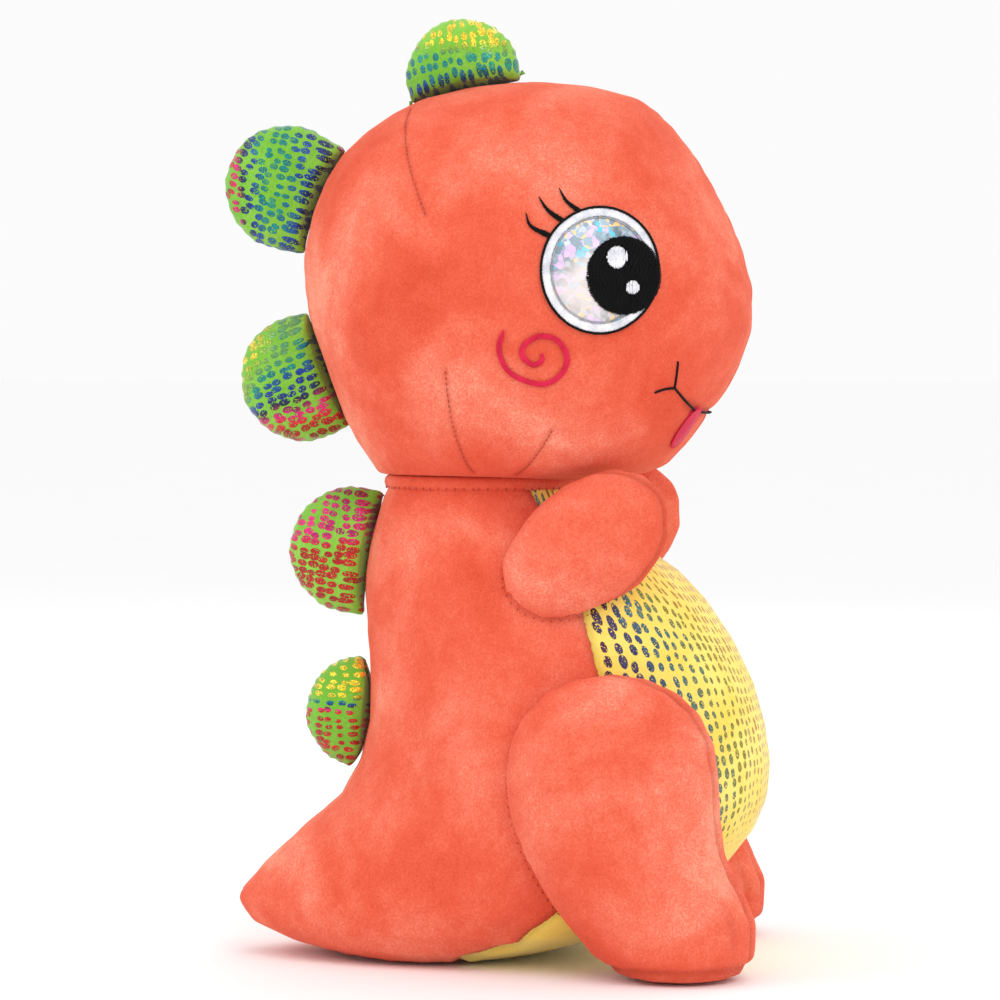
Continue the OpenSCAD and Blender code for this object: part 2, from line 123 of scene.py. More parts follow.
def soft_box(name, place, size, power):
    """A square soft box at place, pointed at the middle of the toy."""
    light = bpy.data.objects.new(name, bpy.data.lights.new(name, "AREA"))
    light.data.shape = "SQUARE"
    light.data.size = size
    light.data.energy = power
    light.location = place
    light.rotation_mode = "QUATERNION"
    light.rotation_quaternion = (toy_middle - Vector(place)).to_track_quat("-Z", "Y")
    scene.collection.objects.link(light)


soft_box("Key_box", (-1.2, -0.7, 1.3), 1.0, 6.5)
soft_box("Back_box", (-0.5, 1.3, 1.1), 1.0, 4)
soft_box("Far_box", (1.3, -0.4, 1.2), 1.2, 4)
scene.view_settings.view_transform = "Standard"
world = bpy.data.worlds.new("White_surround")
scene.world = world
world.use_nodes = True
surround = world.node_tree.nodes["Background"]
surround.inputs["Color"].default_value = (1, 1, 1, 1)
surround.inputs["Strength"].default_value = 0.97


def add(tree, kind, inputs=None, **settings):
    """One shader node in tree. An input is a value, the output that feeds it, or a node that feeds it from
    its first one."""
    made = tree.nodes.new(kind if "Node" in kind else "ShaderNode" + kind)
    for key, value in settings.items():
        setattr(made, key, value)
    for key, value in (inputs or {}).items():
        if isinstance(value, bpy.types.Node):
            value = value.outputs[0]
        if isinstance(value, bpy.types.NodeSocket):
            tree.links.new(value, made.inputs[key])
        else:
            made.inputs[key].default_value = value
    return made


def noise(tree, place, scale, detail=2.0, **more):
    return add(tree, "TexNoise", {"Vector": place, "Scale": scale, "Detail": detail, **more})


def ramp(tree, value, *stops, sudden=False):
    """Colours from the first stop to the last, each a place from 0 to 1 and a colour."""
    made = add(tree, "ValToRGB", {"Fac": value})
    scale = made.color_ramp
    if sudden:
        scale.interpolation = "CONSTANT"
    scale.elements[0].position, scale.elements[0].color = stops[0]
    scale.elements[1].position, scale.elements[1].color = stops[-1]
    for place, tone in stops[1:-1]:
        scale.elements.new(place).color = tone
    return made


def feed(surface, **nodes):
    """Leads each node into the surface shader's socket of that name."""
    for key, node in nodes.items():
        surface.id_data.links.new(node.outputs[0], surface.inputs[key.replace("_", " ")])


def finish_of(name, **values):
    """A new material, its tree and its surface shader with plain values set on the shader's own sockets."""
    material = bpy.data.materials.new(name)
    material.use_nodes = True
    tree = material.node_tree
    tree.nodes.clear()
    surface = tree.nodes.new("ShaderNodeBsdfPrincipled")
    tree.links.new(surface.outputs[0], tree.nodes.new("ShaderNodeOutputMaterial").inputs[0])
    for key, value in values.items():
        surface.inputs[key.replace("_", " ")].default_value = value
    return material, tree, surface


def dye(red, green, blue):
    """A colour off the dyer's card, 0 to 255, as the light it sends back."""
    return tuple((c / 255 / 12.92) if c <= 10 else ((c / 255 + 0.055) / 1.055) ** 2.4
                 for c in (red, green, blue)) + (1,)


floor_mesh = bpy.data.meshes.new("Table_top")
reach, under = 30, -0.0002
floor_mesh.from_pydata([(-reach, -reach, under), (reach, -reach, under), (reach, reach, under),
                        (-reach, reach, under)], [], [(0, 1, 2, 3)])
table_top = bpy.data.objects.new("Table_top", floor_mesh)
scene.collection.objects.link(table_top)
table_paint, tree, surface = finish_of("Matt_white_table", Roughness=0.9)
mottle = noise(tree, add(tree, "TexCoord").outputs["Object"], 6.0)
feed(surface, Base_Color=ramp(tree, mottle, (0, (0.975, 0.975, 0.975, 1)), (1, (0.99, 0.99, 0.99, 1))))
floor_mesh.materials.append(table_paint)
table_top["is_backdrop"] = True

# ---------------------------------------------------------------- head
# A big round head: two side panels of short-pile coral plush joined along the middle by one seam, shaped by a
# dart in the crown and two under the jaw on each side, turned right side out and stuffed tight with filling.


def maths(tree, operation, *values):
    return add(tree, "Math", dict(enumerate(values)), operation=operation)


def vectors(tree, operation, *values):
    return add(tree, "VectorMath", dict(enumerate(values)), operation=operation)


def ranged(tree, value, low=0.0, high=1.0, to_low=0.0, to_high=1.0):
    """value, low to high, spread over to_low to to_high and cut off past them."""
    return add(tree, "MapRange", {"Value": value, "From Min": low, "From Max": high, "To Min": to_low,
                                  "To Max": to_high})


def bumped(tree, height, strength, distance, **more):
    return add(tree, "Bump", {"Height": height, "Strength": strength, "Distance": distance, **more})


def mixed(tree, share, first, second):
    return add(tree, "MixRGB", {"Fac": share, "Color1": first, "Color2": second})


def plush(name, deep, middle, light, tips):
    """Short-pile plush: a fine speckle of pile tips over patches where the pile lies another way, with painted
    shade darkening it in the grooves of seams, darts and creases.
    """
    material, tree, surface = finish_of(name, Roughness=0.92, Sheen_Weight=0.22, Sheen_Roughness=0.42)
    surface.inputs["Sheen Tint"].default_value = tips
    surface.inputs["Specular IOR Level"].default_value = 0.18
    place = add(tree, "TexCoord").outputs["Object"]
    patches = ranged(tree, noise(tree, place, 21.0, 2.5, Roughness=0.5, Distortion=0.6), 0.3, 0.72)
    brushed = noise(tree, place, 190.0, 3.0, Roughness=0.6)
    speckle = noise(tree, place, 1250.0, 2.0, Roughness=0.7)
    pile = maths(tree, "MULTIPLY_ADD", brushed, 0.35, maths(tree, "MULTIPLY", patches, 0.62))
    pile = ranged(tree, maths(tree, "MULTIPLY_ADD", speckle, 0.75, pile), 0.46, 1.26)
    shades = ramp(tree, pile, (0, deep), (0.42, middle), (0.72, light), (1, tips))
    # painted shade: the colour is darkened towards a deep coral where the 'seam' mark lies
    crease = maths(tree, "MULTIPLY", add(tree, "Attribute", attribute_name="seam").outputs["Fac"], 0.34)
    seam_shaded = mixed(tree, crease, shades, tuple(c * 0.42 for c in deep[:3]) + (1,))
    tips_up = bumped(tree, speckle, 0.5, 0.0005)
    feed(surface, Base_Color=seam_shaded, Normal=bumped(tree, brushed, 0.25, 0.0012, Normal=tips_up))
    return material


coral_plush = plush("Coral_plush", dye(214, 76, 50), dye(229, 97, 71), dye(238, 121, 95), dye(246, 156, 130))


def joined(*names):
    """The CAD solids of these names as one mesh, doubles merged."""
    work = bmesh.new()
    for name in names:
        work.from_mesh(frame["nodes"][name].data)
    bmesh.ops.remove_doubles(work, verts=work.verts, dist=1e-6)
    mesh = bpy.data.meshes.new("Joined")
    work.to_mesh(mesh)
    work.free()
    return mesh


def through(mesh, kind, **settings):
    """mesh with one modifier applied."""
    helper = bpy.data.objects.new("Helper", mesh)
    scene.collection.objects.link(helper)
    step = helper.modifiers.new("Step", kind)
    for key, value in settings.items():
        setattr(step, key, value)
    made = bpy.data.meshes.new_from_object(helper.evaluated_get(bpy.context.evaluated_depsgraph_get()))
    bpy.data.objects.remove(helper)
    return made


def points_of(mesh):
    flat = np.empty(len(mesh.vertices) * 3, np.float32)
    mesh.vertices.foreach_get("co", flat)
    return flat.reshape(-1, 3).astype(float)


def normals_of(mesh):
    flat = np.empty(len(mesh.vertices) * 3, np.float32)
    mesh.vertex_normals.foreach_get("vector", flat)
    return flat.reshape(-1, 3).astype(float)


def place_points(mesh, points):
    mesh.vertices.foreach_set("co", np.asarray(points, np.float32).ravel())
    mesh.update()


def mark(mesh, name, values):
    """Gives every point of mesh a number under this name."""
    if name not in mesh.attributes:
        mesh.attributes.new(name, "FLOAT", "POINT")
    mesh.attributes[name].data.foreach_set("value", np.asarray(values, np.float32))


def marked(mesh, name):
    values = np.empty(len(mesh.vertices), np.float32)
    mesh.attributes[name].data.foreach_get("value", values)
    return values


def smoothed(mesh):
    for face in mesh.polygons:
        face.use_smooth = True
    return mesh


def skin_tree(mesh):
    """A search tree on the faces of mesh."""
    return BVHTree.FromPolygons([v.co for v in mesh.vertices], [tuple(p.vertices) for p in mesh.polygons])


def largest_shell(mesh):
    """mesh without the small closed bubbles that a remesh leaves between layers."""
    work = bmesh.new()
    work.from_mesh(mesh)
    work.verts.ensure_lookup_table()
    seen, shells = set(), []
    for start in work.verts:
        if start.index in seen:
            continue
        shell, queue = [], [start]
        seen.add(start.index)
        while queue:
            v = queue.pop()
            shell.append(v)
            for e in v.link_edges:
                w = e.other_vert(v)
                if w.index not in seen:
                    seen.add(w.index)
                    queue.append(w)
        shells.append(shell)
    keep = max(shells, key=len)
    bmesh.ops.delete(work, geom=[v for shell in shells if shell is not keep for v in shell], context="VERTS")
    work.to_mesh(mesh)
    work.free()
    return mesh


def edge_between(side_a, side_b):
    """How far a point lies from the seam between two groups of CAD panels: below 0 on side_a, above 0 on
    side_b."""
    near_a, near_b = skin_tree(joined(*side_a)), skin_tree(joined(*side_b))
    return lambda points: np.array([near_a.find_nearest(Vector(p))[3] - near_b.find_nearest(Vector(p))[3]
                                    for p in points])


def puffed(mesh, held, pressure=4.0, steps=20):
    """Where the points of mesh settle in a cloth simulation of the filling's pressure, held where the mask is
    true. While trying things the points only swell a little."""
    helper = bpy.data.objects.new("Puffing", mesh.copy())
    scene.collection.objects.link(helper)
    pins = helper.vertex_groups.new(name="held")
    pins.add([int(i) for i in np.nonzero(held)[0]], 1.0, "REPLACE")
    cloth = helper.modifiers.new("Cloth", "CLOTH")
    cloth.settings.use_pressure = True
    cloth.settings.uniform_pressure_force = pressure
    cloth.settings.effector_weights.gravity = 0
    cloth.settings.vertex_group_mass = "held"
    cloth.settings.quality = 6
    cloth.settings.shrink_min = -0.012
    cloth.point_cache.frame_start, cloth.point_cache.frame_end = 1, steps
    for moment in range(1, steps + 1):
        scene.frame_set(moment)
    moved = points_of(bpy.data.meshes.new_from_object(helper.evaluated_get(bpy.context.evaluated_depsgraph_get())))
    bpy.data.objects.remove(helper)
    scene.frame_set(1)
    return moved


def stuffed(nodes, seams, coarse=0.004, fine=0.002, cap=0.0034, groove=0.0011, groove_width=0.0016,
            tuck=0.0012):
    """A tight stuffed form from these CAD solids: remeshed, puffed by cloth between its seams, capped, made
    dense, and drawn in along each seam. The point attribute 'seam' is 1 in the stitched line and fades to 0
    beside it, and 'first_seam' is how far a point lies to either side of the first seam."""
    solid = joined(*nodes)
    exact = skin_tree(through(solid, "REMESH", mode="VOXEL", voxel_size=fine))
    start = largest_shell(through(solid, "REMESH", mode="VOXEL", voxel_size=coarse))
    rest = points_of(start)
    gap = np.min([np.abs(field(rest)) for field in seams], axis=0)
    place_points(start, rest - normals_of(start) * tuck)
    moved = puffed(start, gap < coarse * 0.7)
    slip = moved - rest
    length = np.linalg.norm(slip, axis=1, keepdims=True)
    place_points(start, rest + slip * np.minimum(1, cap / np.maximum(length, 1e-9)))
    mesh = through(start, "SUBSURF", levels=2, render_levels=2)
    points = points_of(mesh)
    # the puffed skin keeps the outline of the pattern
    most_outside, most_inside = 0.0007, 0.00025
    for i, p in enumerate(points):
        spot, way, _, _ = exact.find_nearest(Vector(p))
        lift = min(most_outside, max(-most_inside, (Vector(p) - spot).dot(way)))
        points[i] = spot + way * lift
    place_points(mesh, points)
    mesh = through(mesh, "SMOOTH", factor=0.5, iterations=3)
    points, out = points_of(mesh), normals_of(mesh)
    gaps = [field(points) for field in seams]
    gap = np.min(np.abs(gaps), axis=0)
    drawn = np.exp(-((gap / groove_width) ** 2))
    x, y, z = points.T
    wave = np.sin(410 * x + 260 * y + 3) * np.sin(330 * z + 190 * y)
    puckers = 0.0004 * np.exp(-((gap / 0.005) ** 2)) * wave
    points -= out * (groove * drawn + puckers)[:, None]
    points[:, 2] = np.maximum(points[:, 2], 0.0001)
    place_points(mesh, points)
    # 'seam' also tells the finishes where to lay painted shade in the groove
    mark(mesh, "seam", drawn)
    mark(mesh, "first_seam", gaps[0])
    return smoothed(mesh)


def piece(name, mesh, body, material, replaced=(), bend=None):
    """A finished piece: rides on its body, stands for its CAD solids and names its finish. bend is the body
    it is sewn to, and the two points between which it turns from that body to its own."""
    made = bpy.data.objects.new(name, mesh)
    scene.collection.objects.link(made)
    mesh.materials.clear()
    mesh.materials.append(material)
    if bend:
        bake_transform(made, bend[0], body, bend[1], bend[2])
    else:
        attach(made, body)
    if replaced:
        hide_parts(*replaced)


head_nodes = ["head_right_panel", "head_left_panel", "head_filling"]
head_middle = edge_between(head_nodes[:1], head_nodes[1:2])
head_mesh = stuffed(head_nodes, [head_middle])
head_core = Vector((0, -0.0098, 0.25))
head_skin = skin_tree(head_mesh)


def from_core(spot, lift=0.0):
    """The point of the head's skin on the line from the head's middle through spot, and the way out of it."""
    way = (Vector(spot) - head_core).normalized()
    hit, out, _, _ = head_skin.ray_cast(head_core + way * 0.04, way)
    return hit + out * lift, out


def from_side(y, z, side, lift=0.0):
    """The point of the head's skin seen square from its right (side -1) or left (side 1)."""
    hit, out, _, _ = head_skin.ray_cast(Vector((side * 0.2, y, z)), Vector((-side, 0, 0)))
    return hit + out * lift, out


def dart_line(a, b, side, count=26):
    """A sewn dart from a to b over the head's skin; side turns a and b to the right (-1) or left (1)."""
    made = []
    for i in range(count + 1):
        x, y, z = (p + (q - p) * i / count for p, q in zip(a, b))
        made.append(from_core((side * x, y, z)))
    return made


crown_dart = ((0.022, 0.0313, 0.3139), (0.0657, 0.0219, 0.2739))
jaw_darts = (((0.0673, 0.0146, 0.2184), (0.0415, 0.0063, 0.182)),
             ((0.0588, -0.0231, 0.1987), (0.0392, -0.0082, 0.1801)))
head_darts = [dart_line(a, b, side) for side in (-1, 1) for a, b in (crown_dart, *jaw_darts)]


def press_lines(mesh, lines, depth, width):
    """Draws the skin in along sewn lines, and marks them for painted shade in the groove."""
    marks = np.array([p[:] for line in lines for p, _ in line])
    points, out = points_of(mesh), normals_of(mesh)
    drawn = np.zeros(len(points))
    at_once = 4000
    for start in range(0, len(points), at_once):
        block = slice(start, start + at_once)
        far = np.sqrt(((points[block, None, :] - marks[None]) ** 2).sum(2)).min(1)
        drawn[block] = np.exp(-((far / width) ** 2))
    place_points(mesh, points - out * (drawn * depth)[:, None])
    # painted shade: the drawn-in line is marked to be darkened a little less than a seam
    mark(mesh, "seam", np.maximum(marked(mesh, "seam"), drawn * 0.55))


press_lines(head_mesh, head_darts, 0.0006, 0.0010)
head_skin = skin_tree(head_mesh)
piece("Head_plush", head_mesh, "head", coral_plush, head_nodes)

# ---------------------------------------------------------------- thread work
# All stitching is laid thread by thread: each short thread lies flat on the cloth, is a little longer or
# shorter than the next, and is a rounded strand. The same rule lays satin borders, running stitches and
# filled shapes.


def thread_rule():
    """The Geometry Nodes tree that lays one strand on every point, along 'lay', with its back to 'out', 'run'
    long."""
    rule = bpy.data.node_groups.new("Laid_threads", "GeometryNodeTree")
    sockets = {}
    rule.interface.new_socket("Geometry", in_out="INPUT", socket_type="NodeSocketGeometry")
    for label, kind, value in (("Thread width", "Float", 0.0005), ("Flatness", "Float", 0.8),
                               ("Looseness", "Float", 0.06), ("Seed", "Int", 1)):
        made = rule.interface.new_socket(label, in_out="INPUT", socket_type="NodeSocket" + kind)
        made.default_value = value
        sockets[label] = made.identifier
    sockets["Thread"] = rule.interface.new_socket("Thread", in_out="INPUT",
                                                  socket_type="NodeSocketMaterial").identifier
    rule.interface.new_socket("Geometry", in_out="OUTPUT", socket_type="NodeSocketGeometry")
    given = rule.nodes.new("NodeGroupInput").outputs

    def held(label, kind):
        return add(rule, "GeometryNodeInputNamedAttribute", {"Name": label},
                   data_type=kind).outputs["Attribute"]

    # a strand is a small ball with blunted ends
    ball = add(rule, "GeometryNodeMeshUVSphere", {"Segments": 6, "Rings": 7})
    x, y, z = add(rule, "SeparateXYZ", {0: add(rule, "GeometryNodeInputPosition")}).outputs
    blunt = maths(rule, "MULTIPLY", maths(rule, "SIGN", z),
                  maths(rule, "POWER", maths(rule, "ABSOLUTE", z), 0.5))
    strand = add(rule, "GeometryNodeSetPosition",
                 {"Geometry": ball, "Position": add(rule, "CombineXYZ", {0: x, 1: y, 2: blunt})})
    turn = "FunctionNodeAlignRotationToVector"
    along = add(rule, turn, {"Vector": held("lay", "FLOAT_VECTOR")}, axis="Z")
    upright = add(rule, turn, {"Rotation": along, "Vector": held("out", "FLOAT_VECTOR")}, axis="X",
                  pivot_axis="Z")
    shortest, longest = maths(rule, "SUBTRACT", 1.0,
                              given["Looseness"]), maths(rule, "ADD", 1.0, given["Looseness"])
    chance = add(rule, "FunctionNodeRandomValue", {"Seed": given["Seed"], 2: shortest, 3: longest},
                 data_type="FLOAT")
    length = maths(rule, "MULTIPLY", maths(rule, "MULTIPLY", held("run", "FLOAT"), 0.5), chance.outputs[1])
    half = maths(rule, "MULTIPLY", given["Thread width"], 0.5)
    size = add(rule, "CombineXYZ", {0: maths(rule, "MULTIPLY", half, given["Flatness"]), 1: half, 2: length})
    lay = add(rule, "GeometryNodeInstanceOnPoints",
              {"Points": given["Geometry"], "Instance": strand, "Rotation": upright, "Scale": size})
    smooth = add(rule, "GeometryNodeSetShadeSmooth", {0: add(rule, "GeometryNodeRealizeInstances", {0: lay})})
    finish = add(rule, "GeometryNodeSetMaterial", {"Geometry": smooth, "Material": given["Thread"]})
    rule.links.new(finish.outputs[0], rule.nodes.new("NodeGroupOutput").inputs[0])
    return rule, sockets


laid_threads, thread_sockets = thread_rule()


def stitched(name, strands, thread, width, body, replaced=(), flatness=0.8, looseness=0.06, seed=1):
    """A piece of thread work from its strands, each a middle point, the way it lies, the way out of the
    cloth, and its length."""
    mesh = bpy.data.meshes.new(name)
    mesh.from_pydata([s[0] for s in strands], [], [])
    for label, column in (("lay", 1), ("out", 2)):
        ways = np.array([s[column][:] for s in strands], np.float32)
        mesh.attributes.new(label, "FLOAT_VECTOR", "POINT").data.foreach_set("vector", ways.ravel())
    mark(mesh, "run", [s[3] for s in strands])
    helper = bpy.data.objects.new("Helper", mesh)
    scene.collection.objects.link(helper)
    rule = helper.modifiers.new("Threads", "NODES")
    rule.node_group = laid_threads
    given = {"Thread width": width, "Flatness": flatness, "Looseness": looseness, "Seed": seed,
             "Thread": thread}
    for label, value in given.items():
        rule[thread_sockets[label]] = value
    made = bpy.data.meshes.new_from_object(helper.evaluated_get(bpy.context.evaluated_depsgraph_get()))
    helper.modifiers.clear()
    bpy.data.objects.remove(helper)
    for label in [a.name for a in made.attributes if a.name in ("lay", "out", "run")]:
        made.attributes.remove(made.attributes[label])
    made.name = name
    piece(name, made, body, thread, replaced)


def spun(name, colour, dark, shine=0.32, silk=0.35, gloss=0.5):
    """Embroidery thread: fine twist along the strand and a silky edge."""
    material, tree, surface = finish_of(name, Roughness=shine, Sheen_Weight=silk, Sheen_Roughness=0.3)
    surface.inputs["Specular IOR Level"].default_value = gloss
    place = add(tree, "TexCoord").outputs["Object"]
    fibre, batch = noise(tree, place, 2600.0), noise(tree, place, 240.0)
    shades = ramp(tree, maths(tree, "MULTIPLY_ADD", fibre, 0.5, batch), (0.5, dark), (0.95, colour))
    rough = ranged(tree, batch, to_low=shine - 0.08, to_high=shine + 0.14)
    feed(surface, Base_Color=shades, Roughness=rough, Normal=bumped(tree, fibre, 0.5, 0.0001))
    return material


black_thread = spun("Black_embroidery_thread", dye(13, 13, 15), dye(4, 4, 5), 0.6, 0.0, 0.14)
white_thread = spun("White_embroidery_thread", dye(250, 250, 252), dye(206, 206, 216), 0.36, 0.1)
# grey thread for the painted shadow inside each eye's white border
shadow_grey_thread = spun("Grey_edging_thread", dye(170, 172, 176), dye(128, 130, 136), 0.4)
pink_thread = spun("Pink_embroidery_thread", dye(234, 36, 84), dye(204, 20, 60), 0.4, 0.08, 0.3)
coral_thread = spun("Coral_sewing_thread", dye(196, 66, 48), dye(150, 40, 30), 0.55, 0.05)


def smooth_path(knots, count):
    """count + 1 points on a smooth curve through the knots."""
    before, after = (tuple(2 * a - b for a, b in zip(end, inner))
                     for end, inner in ((knots[0], knots[1]), (knots[-1], knots[-2])))
    ends = [before, *knots, after]
    made = []
    for i in range(count + 1):
        t = i / count * (len(knots) - 1)
        k = min(int(t), len(knots) - 2)
        f = t - k
        made.append(tuple(0.5 * (2 * b + (c - a) * f + (2 * a - 5 * b + 4 * c - d) * f * f
                                 + (3 * b - a - 3 * c + d) * f ** 3)
                          for a, b, c, d in zip(*ends[k:k + 4])))
    return made


def evenly(path, step):
    """The places on a path of (point, way out) pairs, step apart, each with the way the path runs there."""
    made, left = [], step * 0.5
    for (p, n), (q, m) in zip(path[:-1], path[1:]):
        span = (q - p).length
        while left <= span and span > 0:
            made.append((p.lerp(q, left / span), (q - p).normalized(), n.lerp(m, left / span).normalized()))
            left += step
        left -= span
    return made


def satin(path, step, width_at):
    """Threads laid side by side across a path. width_at gives the border's width from 0 to 1 along it."""
    places = evenly(path, step)
    return [(p, n.cross(way), n, width_at(i / max(1,
                                                  len(places) - 1))) for i, (p, way, n) in enumerate(places)]


def running(path, step, length, slant=0.0):
    """Threads laid one after another along a path, each turned by slant."""
    return [(p, way + n.cross(way) * slant, n, length) for p, way, n in evenly(path, step)]


def filled(at, lift, outline_u, outline_v, step, length, shift=(0, 0)):
    """Threads laid in rows up an oval, each row cut into stitches that start a third of a stitch from the
    next row's."""
    shortest, overlap = 0.0003, 1.12
    made, u, row = [], -outline_u + step / 2, 0
    while u < outline_u:
        reach = outline_v * math.sqrt(max(0, 1 - (u / outline_u) ** 2))
        cuts = [v for v in np.arange(-outline_v - length * (row % 3) / 3, outline_v,
                                     length) if -reach < v < reach]
        edges = [-reach] + cuts + [reach]
        for low, high in zip(edges[:-1], edges[1:]):
            if high - low > shortest:
                p, n = at(u + shift[0], (low + high) / 2 + shift[1], lift)
                q, _ = at(u + shift[0], (low + high) / 2 + shift[1] + 0.0004, lift)
                made.append((p, q - p, n, (high - low) * overlap))
        u, row = u + step, row + 1
    return made


def oval(at, reach_u, reach_v, lift=0.0, count=120, shift=(0, 0)):
    """A closed line round an oval on the cloth, as (point, way out) pairs with the first one again at the
    end."""
    turns = [2 * math.pi * k / count for k in range(count + 1)]
    return [at(shift[0] + reach_u * math.cos(a), shift[1] + reach_v * math.sin(a), lift) for a in turns]


def rings_of_faces(rings, around, closed=False):
    """The faces of a tube or sheet whose points lie in rings, around points to a ring."""
    faces = []
    for i in range(rings if closed else rings - 1):
        for k in range(around):
            a, b, on = i * around + k, i * around + (k + 1) % around, (i + 1) % rings * around - i * around
            faces.append((a, a + on, b + on, b))
    return faces


def patch(name, at, spread_u, spread_v, lift, dome, material, replaced=(), rings=14,
          shift=(0, 0), inner=0.0):
    """A thin oval patch laid on the head's cloth: a round grid with a turned-down edge, domed a little in the
    middle. With inner above 0 it is a ring with a hole of that share."""
    around = 64
    spots = []
    for i in range(rings + 1):
        share = inner + (1 - inner) * i / rings
        rise = lift + dome * (1 - share ** 2)
        spots += [p + n * rise for p, n in oval(at, spread_u * share, spread_v * share, 0.0,
                                                around, shift)[:-1]]
    spots += [p - n * 0.0006 for p, n in oval(at, spread_u * 1.005, spread_v * 1.005, 0.0,
                                              around, shift)[:-1]]
    faces = rings_of_faces(rings + 2, around)
    if inner == 0:
        faces.append(tuple(range(around)))
    mesh = bpy.data.meshes.new(name)
    mesh.from_pydata(spots, [], faces)
    work = bmesh.new()
    work.from_mesh(mesh)
    bmesh.ops.remove_doubles(work, verts=work.verts, dist=1e-6)
    # the patch is an open cap on the cloth; its faces look away from the head's middle
    work.normal_update()
    if sum(f.normal.dot(f.calc_center_median() - head_core) for f in work.faces) < 0:
        bmesh.ops.reverse_faces(work, faces=work.faces)
    work.to_mesh(mesh)
    work.free()
    piece(name, smoothed(mesh), "head", material, replaced)


# ---------------------------------------------------------------- eyes
# Each eye is a disc of cracked-ice foil cloth, edged by a thin grey line, a satin border of white thread and
# a black outline; the grey line is painted shadow, grey thread where the raised border shades the foil. The
# pupil is filled with black thread and carries two white glints; three black lashes curl up behind it.
ice, tree, surface = finish_of("Cracked_ice_foil", Coat_Weight=0.35, Coat_Roughness=0.1)
surface.inputs["Metallic"].default_value = 0.2
place = add(tree, "TexCoord").outputs["Object"]
flat = vectors(tree, "MULTIPLY", place, (0.0, 1.0, 1.0))
shards, splinters = (add(tree, "TexVoronoi", {"Vector": flat, "Scale": scale,
                                              "Randomness": 1.0}) for scale in (270.0, 560.0))
shard = add(tree, "SeparateColor", {0: shards.outputs["Color"]})
splinter = add(tree, "SeparateColor", {0: splinters.outputs["Color"]})
facets = maths(tree, "MULTIPLY", maths(tree, "MULTIPLY_ADD", splinter, 0.4, shard), 0.714)
flashes = ramp(tree, facets, (0, dye(104, 124, 134)), (0.16, dye(136, 152, 162)), (0.3, dye(72, 190, 222)),
               (0.38, dye(124, 142, 156)),
               (0.52, dye(186, 194, 208)), (0.64, dye(240, 196, 132)), (0.7, dye(150, 170, 184)),
               (0.82, dye(206, 178, 230)), (0.9, dye(232, 190, 236)), sudden=True)
# low in each eye the foil carries a painted highlight: its colour is mixed towards pale pink round a point there
eye_low, eye_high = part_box("right_eye_foil")
painted_highlight_middle = (0.0, (eye_low.y + eye_high.y) / 2 + 0.0035, (eye_low.z + eye_high.z) / 2 - 0.0065)
from_painted_highlight = vectors(tree, "DISTANCE", flat, painted_highlight_middle).outputs["Value"]
from_painted_highlight = ranged(tree, maths(tree, "MULTIPLY_ADD", noise(tree, place, 90.0), 0.008, from_painted_highlight),
                   0.011, 0.019)
foil_tone = mixed(tree, from_painted_highlight, mixed(tree, 0.3, dye(255, 238, 232), flashes), flashes)
feed(surface, Base_Color=foil_tone, Roughness=ranged(tree, shard.outputs[1], to_low=0.16, to_high=0.36),
     Normal=bumped(tree, shard.outputs[2], 0.35, 0.0003))

